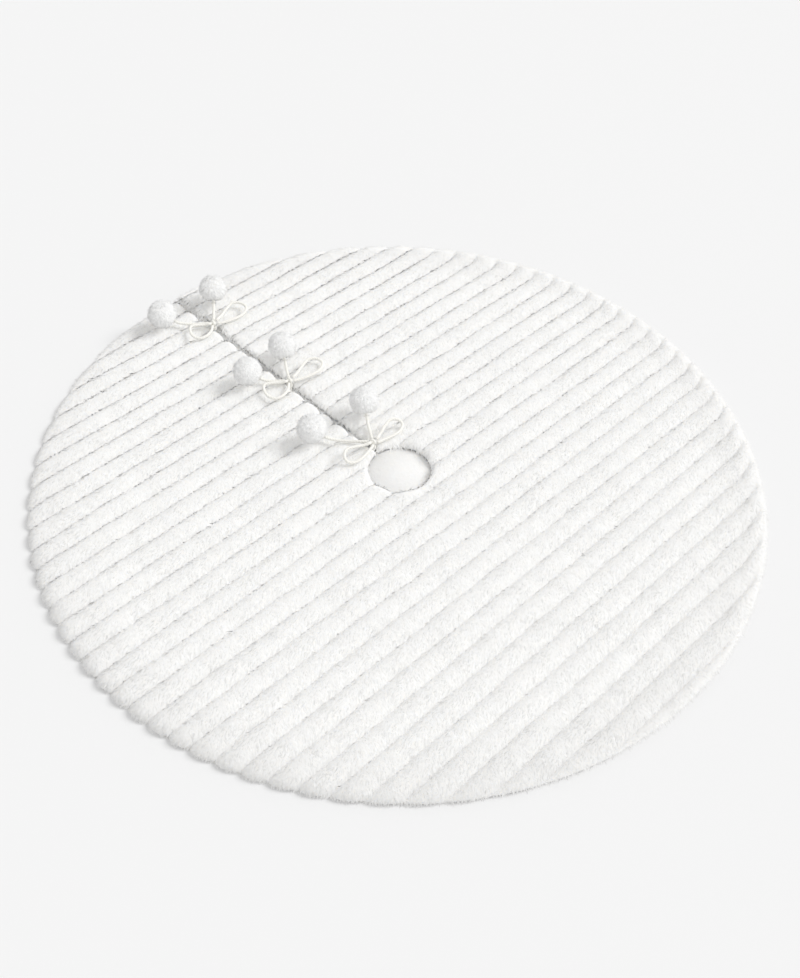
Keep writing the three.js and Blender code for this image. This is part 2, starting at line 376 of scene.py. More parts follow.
def neck_direction(tie, side_name):
    run = unit(*(pompom_place(tie, side_name) - knot_place(tie))[:2])
    return np.array((-run[0] * cos(NECK_DROP), -run[1] * cos(NECK_DROP), -sin(NECK_DROP)))


def loop_points(tie, side_name):
    length, width, tilt = (size * MM for size in TIES[tie][1][side_name][0])
    knot = knot_place(tie)
    side = SIDES[side_name]
    rest = CORD_Z - knot[2]
    leave = unit(1, -0.1, 0.45)
    arrive = unit(0.76, -0.66, -0.05)
    steps = [
        leave * CORD_START,
        leave * (CORD_START + CORD_R),
        (0.3 * length, 0.12 * width, 0.25 * tilt + MM),
        (0.55 * length, 0.34 * width, 0.75 * tilt + rest + 1.5 * MM),
        (0.8 * length, 0.46 * width, tilt + rest + MM),
        (0.97 * length, 0.18 * width, 0.75 * tilt + rest + 0.5 * MM),
        (length, -0.18 * width, 0.3 * tilt + rest),
        (0.86 * length, -0.46 * width, rest),
        (0.58 * length, -0.52 * width, rest),
        (0.3 * length, -0.38 * width, rest + 0.3 * MM),
        arrive * (CORD_START + CORD_R),
        arrive * CORD_START,
    ]
    return [knot + (side * along, across, up) for along, across, up in steps]


def tail_points(tie, side_name):
    knot = knot_place(tie)
    neck = neck_direction(tie, side_name)
    pivot = pompom_place(tie, side_name) + neck * (POMPOM_R + SWING_GAP)
    run = np.array((*unit(*(pivot - knot)[:2]), 0))
    reach = hypot(*(pivot - knot)[:2])
    rise = pivot[2] - CORD_Z
    stops = [
        (CORD_START, KNOT_Z - 0.3 * MM),
        (0.3 * reach, CORD_Z + 0.5 * MM),
        (0.55 * reach, CORD_Z),
        (0.82 * reach, CORD_Z + 0.3 * rise),
    ]
    level = knot * (1, 1, 0)
    over = [level + run * along + (0, 0, up) for along, up in stops]
    return over + [pivot, pivot - neck * 11 * MM]


def lead_points(tie, side_name):
    knot = knot_place(tie)
    side = SIDES[side_name]
    foot = np.array((side * 2.7 * MM, knot[1] + side * 4 * MM, 0))
    down = unit(0, side * 0.42, -0.9)
    return [
        foot + (0, 0, FUR_FLOOR + 0.3 * MM),
        foot + (0, 0, FUR_FLOOR + 0.4 * FUR_T),
        knot + down * (CORD_START + CORD_R),
        knot + down * (CORD_START - 2 * MM),
    ]


print("the inner left loop starts", np.round(loop_points("inner", "left")[0] / MM, 1), "mm")

# %% Lay the cords
CORD_STEP = 1 * MM
cords = {}
for tie, side_name in BOTH:
    for kind, points in (
        ("loop", loop_points(tie, side_name)),
        ("tail", tail_points(tie, side_name)),
        ("lead", lead_points(tie, side_name)),
    ):
        node = f"{tie}_{side_name}_{kind}"
        line = smooth_route(points, CORD_STEP)
        piece = twisted_cord(node + "_cord", line, CORD_R + 0.3 * MM, tie_cord)
        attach(piece, "skirt" if kind == "lead" else node)
        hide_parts(node)
        cords[node] = (piece, line)
        print(node, round(length_of(line) / MM), "mm,", len(piece.data.polygons), "faces")

# %% [markdown]
# ## The knots
# A bow's knot is the same cord wrapped over and under itself. A trefoil, the simplest closed knot,
# has exactly those crossings, and pulled tight it makes the small rosette a bow has. One more turn
# of cord round its waist is the band that holds the loops.


# %% Tie the knots
def tie_knot(name, centre, band_turn):
    around = np.linspace(0, 2 * pi, 97)[:-1]
    wide, high = 1.38 * MM, 1.9 * MM
    trefoil = np.stack(
        [
            wide * (np.sin(around) + 2 * np.sin(2 * around)),
            wide * (np.cos(around) - 2 * np.cos(2 * around)),
            -high * np.sin(3 * around),
        ],
        1,
    )
    rosette = twisted_cord(
        name, trefoil + centre, 2.3 * MM, tie_cord, turn_length=14 * MM, closed=True
    )
    ring = np.stack([0 * around, 3.6 * MM * np.cos(around), 4.1 * MM * np.sin(around)], 1)
    turned = ring @ np.array(Matrix.Rotation(band_turn, 3, "Z")).T
    band = twisted_cord(
        name + "_band", turned + centre, 2.2 * MM, tie_cord, turn_length=13 * MM, closed=True
    )
    return rosette, band


for i, tie in enumerate(TIES):
    rosette, band = tie_knot(tie + "_bow_knot", knot_place(tie), radians(12 - 15 * i))
    band.parent = rosette
    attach(rosette, "skirt")
    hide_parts(tie + "_knot")
    print(rosette.name, "tied at", np.round(knot_place(tie) / MM), "mm")

# %% [markdown]
# ## Soft noise in the shape
# Nothing sewn is quite even. A lattice of random numbers, smoothed between its corners, gives the
# slow lumps and leans that the fur cloth and its pile need. The random numbers have a fixed seed,
# so every run makes the same skirt.


# %% Lumps
LATTICE = 128


def lumps(x, y, size, seed):
    """Smooth noise from -1 to 1 with lumps about `size` metres wide."""
    grid = np.random.default_rng(seed).uniform(-1, 1, (LATTICE, LATTICE))
    x, y = np.asarray(x) / size, np.asarray(y) / size
    column, row = np.floor(x).astype(int), np.floor(y).astype(int)
    right, up = x - column, y - row
    right, up = right * right * (3 - 2 * right), up * up * (3 - 2 * up)

    def between(row):
        start, end = grid[row % LATTICE, column % LATTICE], grid[row % LATTICE, (column + 1) % LATTICE]
        return start * (1 - right) + end * right

    return between(row) * (1 - up) + between(row + 1) * up


def ease(value, start, end):
    """0 before start, 1 after end, and a smooth rise between."""
    t = np.clip((value - start) / (end - start), 0, 1)
    return t * t * (3 - 2 * t)


def unit_rows(vectors):
    """Each row made one unit long."""
    return vectors / np.linalg.norm(vectors, axis=1, keepdims=True)


print("lumps from", round(float(lumps(0.1, 0.2, 0.03, 1)), 2))

# %% [markdown]
# ## The fur cloth
# The face is faux fur, sewn down in straight channels one rib wide. Each channel puffs up between
# two sharp grooves. On the left the grooves run right out to the rim and notch it, so every rib
# ends in a rounded nose. On the right the cloth was rolled under, so there the grooves hook round
# and fade out a little before the edge.
#
# Such a surface could be carved with a Displace modifier, but the grooves need rows of faces
# that follow them. So a plain grid is made for each flap, its rows are laid along the ribs,
# closer together near each groove, and each point is lifted to the height of the pile there.


# %% The pile's shape
# How high the ground cloth stands at a crest and in a groove, how far in from the rim and from the
# hole or the slit it is rounded over, and how deep a groove notches the rim.
GROUND_CREST = 17.4 * MM
GROUND_GROOVE = 9.6 * MM
RIM_ROUND = 26 * MM
EDGE_ROUND = 9 * MM
NOTCH = 6.5 * MM


def to_ribs(x, y):
    """Along and across the ribs."""
    return x * cos(RIB_TURN) + y * sin(RIB_TURN), y * cos(RIB_TURN) - x * sin(RIB_TURN)


def from_ribs(along, across):
    x = along * cos(RIB_TURN) - across * sin(RIB_TURN)
    return x, along * sin(RIB_TURN) + across * cos(RIB_TURN)


def rolled_side(x, y):
    """1 where the rim was rolled under, on the right, and 0 where the grooves reach it."""
    turn = np.degrees(np.arctan2(y, x))
    return ease(turn, -88, -62) * (1 - ease(turn, 28, 52))


def puff(along, across):
    """0 in a groove and 1 on a rib's crest."""
    x, y = from_ribs(along, across)
    inset = SKIRT_R - np.hypot(x, y)
    hook = 8 * MM * rolled_side(x, y) * (1 - ease(inset, 6 * MM, 38 * MM))
    rib = np.floor((across - RIB_SHIFT) / RIB_PITCH + 0.5)
    wander = 1.3 * MM * lumps(along, rib * 0.4, 70 * MM, 3)
    place = (across - hook + wander - RIB_SHIFT) / RIB_PITCH
    share = np.abs(place - np.round(place)) * 2
    bulge = (1 - (1 - share) ** 2.1) ** 0.85
    fade = rolled_side(x, y) * (1 - ease(inset, 4 * MM, 15 * MM))
    return bulge + (0.8 - bulge) * fade


def slit_half(across):
    """Half the slit's width: each rib's end bulges into it."""
    bulge = puff(np.zeros_like(across), across)
    return SLIT_HALF + 1.5 * MM - 3.2 * MM * bulge + 0.7 * MM * lumps(across, across, 25 * MM, 8)


def insets(x, y):
    """How far a point lies in from the rim, and in from the hole or the slit."""
    along, across = to_ribs(x, y)
    notch = NOTCH * (1 - puff(along, across)) * (1 - rolled_side(x, y)) * (along / SKIRT_R) ** 2
    from_rim = SKIRT_R - np.hypot(x, y) - notch
    from_hole = np.hypot(x, y) - HOLE_R
    from_slit = np.where(y > 0, np.abs(x) - slit_half(across), 1.0)
    return from_rim, np.minimum(from_hole, from_slit)


def round_over(inset, width, start):
    """Rises like a quarter circle from `start` at the edge to 1 at `width` in."""
    t = 1 - np.clip(inset / width, 0, 1)
    return start + (1 - start) * np.sqrt(1 - t * t)


def pile_height(x, y):
    along, across = to_ribs(x, y)
    from_rim, from_edge = insets(x, y)
    height = GROUND_GROOVE + (GROUND_CREST - GROUND_GROOVE) * puff(along, across)
    height = height + 0.8 * MM * lumps(along, across, 45 * MM, 11)
    height = height + 0.35 * MM * lumps(along, across, 14 * MM, 12)
    shape = round_over(from_rim, RIM_ROUND, 0.3) * round_over(from_edge, EDGE_ROUND, 0.5)
    return FUR_FLOOR + (height - FUR_FLOOR) * shape


sample = pile_height(np.array([0.2, 0.2]), np.array([RIB_SHIFT, RIB_SHIFT + RIB_PITCH / 2]))
print("groove and crest heights, mm:", np.round(sample / MM, 1))

# %% [markdown]
# ## Two flaps from two grids
# Each flap is a half disc: its rows start at the slit, at the hole, or on the line below the hole
# where both halves meet, and end at the rim. The two grids are welded where they touch. Then the
# open edge is extruded down and the underside is filled, so that the cloth is a closed body.


# %% A maker for keyhole-shaped cloth
def keyhole_cloth(name, rows, columns, inner_edge, outer_edge, height, floor, tuck):
    """A disc with a hole and a slit. Rows lie across the ribs' direction, at `rows`."""
    cloth = bmesh.new()
    spread = np.linspace(0, 1, columns + 1)
    spread = 0.62 * spread + 0.38 * (0.5 - 0.5 * np.cos(pi * spread))
    for side in (-1, 1):
        made = bmesh.ops.create_grid(
            cloth, x_segments=columns, y_segments=len(rows) - 1, size=0.5
        )["verts"]
        column = np.array([round((v.co.x + 0.5) * columns) for v in made])
        row = np.array([round((v.co.y + 0.5) * (len(rows) - 1)) for v in made])
        across = rows[row]
        start, end = inner_edge(across, side), outer_edge(across, side)
        along = start + (end - start) * spread[column]
        x, y = from_ribs(along, across)
        for vert, place in zip(made, np.stack([x, y, height(x, y)], 1)):
            vert.co = place
    bmesh.ops.remove_doubles(cloth, verts=cloth.verts, dist=0.02 * MM)
    bmesh.ops.recalc_face_normals(cloth, faces=cloth.faces)
    if sum(face.normal.z for face in cloth.faces) < 0:
        bmesh.ops.reverse_faces(cloth, faces=cloth.faces)
    edge = [e for e in cloth.edges if e.is_boundary]
    hem = bmesh.ops.extrude_edge_only(cloth, edges=edge)["geom"]
    for vert in (g for g in hem if isinstance(g, bmesh.types.BMVert)):
        reach = hypot(vert.co.x, vert.co.y)
        if reach > SKIRT_R / 2 and abs(vert.co.x) > 2 * SLIT_HALF:
            vert.co *= (reach - tuck) / reach
        vert.co.z = floor
    rest = [g for g in hem if isinstance(g, bmesh.types.BMEdge) and g.is_boundary]
    bmesh.ops.triangle_fill(cloth, edges=rest, use_beauty=True, use_dissolve=False)
    bmesh.ops.recalc_face_normals(cloth, faces=cloth.faces)
    return mesh_from(name, cloth)


def rib_rows(shares, hole_r):
    """Rows across the skirt: the given shares of every rib, the hole's ends and the poles."""
    most = 17
    ribs = range(-most, most + 1)
    rows = [RIB_SHIFT + (rib + share) * RIB_PITCH for rib in ribs for share in shares]
    rows += [s * (hole_r - d * MM) for s in (-1, 1) for d in (0, 0.6, 2, 4)]
    rows = [row for row in rows if abs(row) < SKIRT_R - 10 * MM]
    rows += [s * (SKIRT_R - d * MM) for s in (-1, 1) for d in (0, 0.25, 1, 2.2, 4, 6.2, 8.6)]
    rows = np.array(sorted(rows))
    keep = np.r_[True, np.diff(rows) > 0.12 * MM]
    return rows[keep]


def fur_inner_edge(across, side):
    hole = np.sqrt(np.clip(HOLE_R**2 - across**2, 0, None))
    slit = slit_half(across) + side * across * sin(RIB_TURN)
    edge = np.where(across > 0, np.maximum(hole, slit / cos(RIB_TURN)), hole)
    return side * edge


def fur_outer_edge(across, side):
    edge = np.sqrt(np.clip(SKIRT_R**2 - across**2, 0, None))
    x, y = from_ribs(side * edge, across)
    notch = NOTCH * (1 - puff(side * edge, across)) * (1 - rolled_side(x, y))
    return side * (edge - notch * edge / SKIRT_R)


FUR_COLUMNS = 98
LINING_COLUMNS = 40
FUR_SHARES = (0, 0.025, 0.06, 0.11, 0.18, 0.28, 0.4, 0.55, 0.7, 0.81, 0.88, 0.935, 0.975)
fur_mesh = keyhole_cloth(
    "fur_cloth",
    rib_rows(FUR_SHARES, HOLE_R),
    FUR_COLUMNS,
    fur_inner_edge,
    fur_outer_edge,
    pile_height,
    FUR_FLOOR,
    3 * MM,
)
fur_mesh.calc_loop_triangles()
print("fur cloth:", len(fur_mesh.loop_triangles), "triangles")

# %% [markdown]
# ## The fur's finishes
# Seen close, pile is thousands of pointed tufts. Each is painted a little greyer at its root and
# lighter at its tip: painted shade, for the pile shading itself down at the roots. The ground cloth
# below only shows down in the grooves. The tufts carry their own map: up the map is from root to
# tip, and each tuft has its own narrow strip of it, so a slight change of tone from tuft to tuft
# needs only the map's other direction. The skirt's own fur is also painted a little towards grey
# over its last hand's breadth: painted shade, darker towards the rim.


# %% Fur finishes
GLOW = 6 * MM
# Painted shade over the rim: how far in it starts, how much of it, and the grey it goes towards.
RIM_SHADE_WIDTH = 110 * MM
RIM_SHADE_MOST = 0.55
RIM_SHADE_GREY = (0.80, 0.795, 0.785, 1)


def rim_painted_shade(finish, colour):
    """The colour with painted shade: a little greyer towards the skirt's rim."""
    x, y = finish.split(finish.place())
    reach = (x * x + y * y) ** 0.5
    steps = {"interpolation_type": "SMOOTHSTEP"}
    ends = {"Value": reach, "From Min": SKIRT_R - RIM_SHADE_WIDTH, "From Max": SKIRT_R - 5 * MM}
    share = finish.node("ShaderNodeMapRange", steps, ends)
    return finish.mix(share * RIM_SHADE_MOST, colour, RIM_SHADE_GREY)


def fur_finish(name, root, tip, spread, shade_rim=False):
    """Tufts from root to tip, with painted shade at the root. `spread` is how much they differ,
    and the last flag paints shade over the rim.
    """
    finish = Finish(name)
    uv = finish.node("ShaderNodeUVMap", {"uv_map": "OFBake"})
    strip, climb = finish.split(uv)
    by_tuft = {"W": strip, "Scale": 90.0}
    shade = finish.node("ShaderNodeTexNoise", {"noise_dimensions": "1D"}, by_tuft)
    clumps = finish.noise(5 * MM, 3, 0.65)
    # Painted shade: each tuft is greyer at its root, where the pile would shade itself.
    share = (climb**0.6) * (1 - spread) + shade * (spread * 0.5) + clumps * (spread * 0.5)
    colour = finish.mix(share, (*root, 1), (*tip, 1))
    # The rim's painted shade is added here when asked.
    return finish.surface(
        base_color=rim_painted_shade(finish, colour) if shade_rim else colour,
        roughness=0.95 - climb * 0.2,
        sheen_weight=0.2,
        sheen_roughness=0.6,
        specular_ior_level=0.2,
    )


def ground_finish(name, light, deep, shade_rim=False):
    """The cloth under the tufts: matted fibre that light sinks into a little way."""
    finish = Finish(name)
    fibres = finish.noise(1.2 * MM, 3, 0.6)
    clumps = finish.noise(7 * MM, 2)
    colour = finish.mix(fibres * 0.5 + clumps * 0.5, (*deep, 1), (*light, 1))
    # The rim's painted shade is added here when asked.
    return finish.surface(
        base_color=rim_painted_shade(finish, colour) if shade_rim else colour,
        roughness=0.85 + fibres * 0.12,
        normal=finish.bump(fibres * 0.4 + clumps * 0.6, 2 * MM, 0.7),
        subsurface_weight=1.0,
        subsurface_radius=(1.0, 0.97, 0.92),
        subsurface_scale=GLOW,
        sheen_weight=0.2,
        sheen_roughness=0.6,
        specular_ior_level=0.2,
    )


# Each fur's first colour is the painted shade at its tufts' roots; True paints shade over the skirt's
# rim.
fur_pile = fur_finish("fur_pile", (0.81, 0.805, 0.79), (0.975, 0.973, 0.962), 0.5, True)
fur_ground = ground_finish("fur_ground", (0.93, 0.927, 0.915), (0.86, 0.855, 0.84), True)
pompom_pile = fur_finish("pompom_pile", (0.78, 0.778, 0.77), (1.0, 1.0, 0.995), 0.4)
pompom_ground = ground_finish("pompom_ground", (0.93, 0.93, 0.92), (0.84, 0.835, 0.82))
print("finishes:", fur_pile.name, fur_ground.name)

# %% Lay the fur cloth
fur_cloth = new_object("fur_cloth", fur_mesh, fur_ground)
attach(fur_cloth, "skirt")
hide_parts("fur_face")

# %% [markdown]
# ## Tufts
# Hair particles would give the finest fur, but nothing could be exported from them, and they would
# slow every view. A tuft of pile holds together as one soft spindle anyway, so one is modelled:
# a three-sided cone whose base is drawn down to a point. Many thousands are then strewn, each with
# its own place, direction, length and width. One small shape repeated keeps the count in hand.
#
# Two things make solid spindles look like fur. Their normals are taken mostly from the cloth they
# stand on, so a rib is shaded as one soft roll. And they throw no shadow and are left out of
# bounced light: real fibres let light through to each other, and opaque ones would darken the
# whole pile.


# %% One tuft, and a way to strew it
def places_and_faces(work):
    """A small shape as two arrays, its points and its faces."""
    work.verts.index_update()
    places = np.array([v.co for v in work.verts])
    faces = np.array([[v.index for v in f.verts] for f in work.faces])
    work.free()
    return places, faces


def tuft_shape():
    """A spindle from (0,0,0) to (0,0,1), half a unit wide at its belly."""
    belly = 0.34
    work = bmesh.new()
    bmesh.ops.create_cone(
        work, cap_ends=True, segments=3, radius1=0.5, radius2=0, depth=1 - belly
    )
    bmesh.ops.remove_doubles(work, verts=work.verts, dist=1e-4)
    bmesh.ops.translate(work, verts=work.verts, vec=(0, 0, (1 + belly) / 2))
    cap = [f for f in work.faces if f.normal.z < -0.9]
    point = bmesh.ops.poke(work, faces=cap)["verts"]
    bmesh.ops.translate(work, verts=point, vec=(0, 0, -belly))
    bmesh.ops.triangulate(work, faces=work.faces)
    bmesh.ops.recalc_face_normals(work, faces=work.faces)
    return places_and_faces(work)


# No point of a tuft lies lower than this, so that none goes through the floor.
LOWEST = 0.2 * MM


def strew(
    name, shape, roots, ways, widths, material, lift, curl=None, seed=0, flat=0.6, roundness=0.5
):
    """One mesh of the shape repeated: from each root, along each way, whose length it takes.

    `lift` holds the normals of the cloth below, and `roundness` says how much of each copy's own
    round shape is added to them. `curl` bends the tips.
    """
    rng = np.random.default_rng(seed)
    places, faces = shape
    count = len(roots)
    axis = unit_rows(ways)
    side = unit_rows(np.cross(axis, lift))
    other = np.cross(axis, side)
    wide = np.asarray(widths).reshape(-1, 1, 1)
    co = roots[:, None] + ways[:, None] * places[None, :, 2:3]
    co = co + side[:, None] * places[None, :, 0:1] * wide
    co = co + other[:, None] * places[None, :, 1:2] * wide * flat
    if curl is not None:
        co = co + curl[:, None] * (places[None, :, 2:3] ** 2)
    co[:, :, 2] = np.maximum(co[:, :, 2], LOWEST)
    corners = (faces[None] + (np.arange(count) * len(places))[:, None, None]).reshape(-1)
    mesh = bpy.data.meshes.new(name)
    mesh.vertices.add(count * len(places))
    mesh.vertices.foreach_set("co", co.astype(np.float32).ravel())
    mesh.loops.add(len(corners))
    mesh.loops.foreach_set("vertex_index", corners.astype(np.int32))
    mesh.polygons.add(count * len(faces))
    mesh.polygons.foreach_set("loop_start", np.arange(0, len(corners), 3, dtype=np.int32))
    mesh.polygons.foreach_set("use_smooth", np.ones(count * len(faces), bool))
    mesh.update(calc_edges=True)
    strip_map(mesh, places, faces, count, rng)
    round_off = side[:, None] * places[None, :, 0:1]
    round_off = round_off + other[:, None] * places[None, :, 1:2]
    round_off = round_off + axis[:, None] * (places[None, :, 2:3] - 0.4) * 0.5
    normals = lift[:, None] + round_off * roundness
    mesh.normals_split_custom_set_from_vertices(unit_rows(normals.reshape(-1, 3)))
    made = new_object(name, mesh, material)
    made.visible_shadow = False
    made.visible_diffuse = False
    return made


def strip_map(mesh, places, faces, count, rng):
    """Each copy gets one narrow strip of the map, from its root up to its tip."""
    strips = 256
    angle = np.arctan2(places[:, 1], places[:, 0])
    across = np.where(np.hypot(places[:, 0], places[:, 1]) < 1e-3, 0.5, angle / (2 * pi) + 0.5)
    one = np.stack([across[faces].ravel(), places[faces, 2].ravel()], 1)
    first = rng.integers(0, strips, count)[:, None]
    u = (first + 0.08 + 0.84 * one[None, :, 0]) / strips
    v = np.broadcast_to(0.01 + 0.98 * one[None, :, 1], u.shape)
    layer = mesh.uv_layers.new(name="OFBake")
    layer.data.foreach_set("uv", np.stack([u, v], -1).astype(np.float32).ravel())


tuft = tuft_shape()
print("a tuft has", len(tuft[0]), "points and", len(tuft[1]), "faces")

# %% [markdown]
# ## The skirt's pile
# The pile leans all one way, as if stroked once, and its tufts gather in soft streaks. At the rim
# they stand outwards and make the fluffy edge. The places are a jittered lattice, because purely
# random ones leave bald spots.


# %% Strew the pile
def lattice(reach, spacing, seed):
    """Evenly spread places in a square, each moved a little at random."""
    rng = np.random.default_rng(seed)
    columns = np.arange(-reach, reach, spacing)
    rows = np.arange(-reach, reach, spacing * 0.866)
    x, y = np.meshgrid(columns, rows)
    x = x + (np.arange(len(rows))[:, None] % 2) * spacing / 2
    x = x + rng.uniform(-0.5, 0.5, x.shape) * spacing
    y = y + rng.uniform(-0.5, 0.5, y.shape) * spacing
    return x.ravel(), y.ravel()


def pile_normals(x, y, step=0.8 * MM):
    slope_x = (pile_height(x + step, y) - pile_height(x - step, y)) / (2 * step)
    slope_y = (pile_height(x, y + step) - pile_height(x, y - step)) / (2 * step)
    limit = 1.6
    steep = np.stack([-np.clip(slope_x, -limit, limit), -np.clip(slope_y, -limit, limit)], 1)
    return unit_rows(np.column_stack([steep, np.ones(len(x))]))


PILE_WAY = radians(222)
PILE_SPACING = 2.75 * MM
PILE_LENGTH = 10 * MM
PILE_WIDTH = 3.2 * MM
PILE_RISE = 0.3
PILE_BANDS = 6
ROOT_DEPTH = 1.3 * MM


def pile_ways(x, y, rng, upright):
    """Which way each tuft points: up from the cloth, leaning with the stroke."""
    from_rim, _ = insets(x, y)
    turn = PILE_WAY + radians(34) * lumps(x, y, 26 * MM, 21) + rng.normal(0, radians(16), len(x))
    lean = np.column_stack([np.cos(turn), np.sin(turn), np.zeros(len(x))])
    out = unit_rows(np.column_stack([x, y, np.zeros(len(x))]))
    edge = (1 - ease(from_rim, 4 * MM, 24 * MM))[:, None]
    lean = lean * (1 - 0.9 * edge) + out * 0.9 * edge
    rise = upright * (1 + 0.35 * lumps(x, y, 9 * MM, 22) + rng.normal(0, 0.18, len(x)))
    normals = pile_normals(x, y)
    lean = unit_rows(lean - normals * (lean * normals).sum(1, keepdims=True))
    return unit_rows(normals * rise[:, None] + lean)


def strew_pile(name, spacing, length, width, upright, bands, seed):
    rng = np.random.default_rng(seed)
    x, y = lattice(SKIRT_R + spacing, spacing, seed + 1)
    from_rim, from_edge = insets(x, y)
    keep = (from_rim > 0.2 * MM) & (from_edge > 0.2 * MM)
    x, y = x[keep], y[keep]
    ways = pile_ways(x, y, rng, upright)
    tops = pile_normals(x, y) + ways * 0.35 + rng.normal(0, 0.14, (len(x), 3))
    lengths = length * rng.uniform(0.7, 1.25, len(x))
    lengths = lengths * (0.65 + 0.35 * ease(from_rim[keep], 0, 20 * MM))
    roots = np.column_stack([x, y, pile_height(x, y) - ROOT_DEPTH])
    widths = width * rng.uniform(0.7, 1.3, len(x))
    widths = widths * (0.75 + 0.25 * ease(from_rim[keep], 0, 20 * MM))
    curl = rng.normal(0, 0.12, (len(x), 3)) * lengths[:, None]
    curl[:, 2] = -np.abs(curl[:, 2]) * 0.6
    order = np.argsort(to_ribs(x, y)[1], kind="stable")
    pieces = []
    for i, some in enumerate(np.array_split(order, bands)):
        piece = strew(
            f"{name}_{i + 1}",
            tuft,
            roots[some],
            ways[some] * lengths[some][:, None],
            widths[some],
            fur_pile,
            tops[some],
            curl=curl[some],
            seed=seed + 10 + i,
            flat=0.22,
        )
        pieces.append(piece)
    print(name, len(x), "tufts in", bands, "bands")
    return pieces


pile = strew_pile("fur_pile", PILE_SPACING, PILE_LENGTH, PILE_WIDTH, PILE_RISE, PILE_BANDS, 100)
for piece in pile:
    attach(piece, "skirt")

# %% [markdown]
# ## The lining
# Under the fur lies a plain woven lining, cut a little smaller, so the seam rolls under and no
# lining shows from above. It is one flat closed cloth, with the slightest waves where the seam
# draws it in.


# %% The lining's finish
def woven_finish(name, light, deep, pitch):
    finish = Finish(name)
    x, y = finish.split(finish.place())
    warp = x.sum("SINE", x * (2 * pi / pitch))
    weft = x.sum("SINE", y * (2 * pi / pitch))
    weave = warp * weft * 0.5 + 0.5
    slub = finish.noise(5 * MM, 4, 0.6)
    colour = finish.mix(weave * 0.45 + slub * 0.55, (*deep, 1), (*light, 1))
    return finish.surface(
        base_color=colour,
        roughness=0.8 + slub * 0.15,
        normal=finish.bump(weave * 0.7 + slub * 0.3, 0.3 * MM, 0.6),
        sheen_weight=0.15,
    )


lining_cloth = woven_finish("lining_cloth", (0.86, 0.86, 0.84), (0.74, 0.74, 0.71), 1.6 * MM)
print("finish:", lining_cloth.name)

# %% Lay the lining
LINING_R = SKIRT_R - 3 * MM - SEAM_W
LINING_HOLE_R = HOLE_R + SEAM_W
LINING_HALF = SLIT_HALF + SEAM_W


def lining_inner_edge(across, side):
    hole = np.sqrt(np.clip(LINING_HOLE_R**2 - across**2, 0, None))
    slit = (LINING_HALF + side * across * sin(RIB_TURN)) / cos(RIB_TURN)
    return side * np.where(across > 0, np.maximum(hole, slit), hole)


def lining_outer_edge(across, side):
    return side * np.sqrt(np.clip(LINING_R**2 - across**2, 0, None))


def lining_height(x, y):
    return BACKING_T - 0.25 * MM * (0.5 + 0.5 * lumps(x, y, 22 * MM, 31))


lining_rows = rib_rows((0, 0.25, 0.5, 0.75), LINING_HOLE_R) * (LINING_R / SKIRT_R)
lining_rows = np.unique(np.r_[lining_rows, LINING_HOLE_R, -LINING_HOLE_R])
lining_mesh = keyhole_cloth(
    "skirt_lining",
    lining_rows,
    LINING_COLUMNS,
    lining_inner_edge,
    lining_outer_edge,
    lining_height,
    0.1 * MM,
    0,
)
lining = new_object("skirt_lining", lining_mesh, lining_cloth)
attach(lining, "skirt")
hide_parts("backing")

# %% [markdown]
# ## Seams
# Thread is never one smooth ring: it dips in and out of the cloth. So each seam is a row of
# small stitches, every one a stretched ball of a few faces. The rim's seam runs round the rim, up
# one flap, round the hole and down the other. The hand-sewn closing stitches slant across it.


# %% Stitches
def stitch_shape():
    work = bmesh.new()
    bmesh.ops.create_icosphere(work, subdivisions=1, radius=0.5)
    bmesh.ops.translate(work, verts=work.verts, vec=(0, 0, 0.5))
    return places_and_faces(work)


def seam_row(name, line, length, width, slant, node, spacing):
    """Stitches along a line, each turned by `slant`."""
    stops = even_steps(line, spacing)
    way = unit_rows(np.diff(stops, axis=0))
    across = np.cross(way, (0, 0, 1))
    way = way * cos(slant) + across * sin(slant)
    middle = (stops[1:] + stops[:-1]) / 2
    roots = middle - way * length / 2
    widths = np.full(len(roots), width)
    up = np.tile((0.0, 0.0, 1.0), (len(roots), 1))
    made = strew(name, stitch, roots, way * length, widths, sewing_thread, up, seed=5, flat=1.0)
    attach(made, "skirt")
    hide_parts(node)
    print(name, len(roots), "stitches")
    return made


def arc(radius, start, end, height, count=400):
    turn = np.linspace(start, end, count)
    return np.stack([radius * np.cos(turn), radius * np.sin(turn), 0 * turn + height], 1)


stitch = stitch_shape()
THREAD_Z = BACKING_T / 2
SEAM_OUT = 0.8 * MM
seam_r = LINING_R + SEAM_OUT
seam_half = LINING_HALF - SEAM_OUT
seam_hole_r = LINING_HOLE_R - SEAM_OUT
rim_gap = asin(seam_half / seam_r)
hole_gap = asin(seam_half / seam_hole_r)
seam_line = np.vstack(
    [
        arc(seam_r, pi / 2 + rim_gap, 2.5 * pi - rim_gap, THREAD_Z, 1600),
        arc(seam_hole_r, pi / 2 - hole_gap, -1.5 * pi + hole_gap, THREAD_Z),
        arc(seam_r, pi / 2 + rim_gap, pi / 2 + rim_gap, THREAD_Z, 1),
    ]
)
seam_row("rim_seam", seam_line, 3.6 * MM, 0.85 * MM, radians(6), "edge_seam_thread", 4 * MM)

closing_r = LINING_R + 2.1 * MM
closing_half = 60 * MM / closing_r
closing_line = arc(closing_r, -pi / 2 - closing_half, -pi / 2 + closing_half, THREAD_Z, 40)
seam_row(
    "closing_seam", closing_line, 2.2 * MM, 0.7 * MM, radians(24), "closing_stitches", 2.6 * MM
)

for tie, side_name in BOTH:
    side = SIDES[side_name]
    stem = f"{tie}_{side_name}_bar"
    middle = np.array((side * SLIT_HALF / 2, knot_place(tie)[1] + side * 4 * MM, THREAD_Z))
    bar = np.array([middle + (0, -2.4 * MM, 0), middle + (0, 2.4 * MM, 0)])
    slant = radians(88)
    seam_row(stem + "_stitches", bar, 4.2 * MM, 0.7 * MM, slant, stem + "_tack", 0.6 * MM)

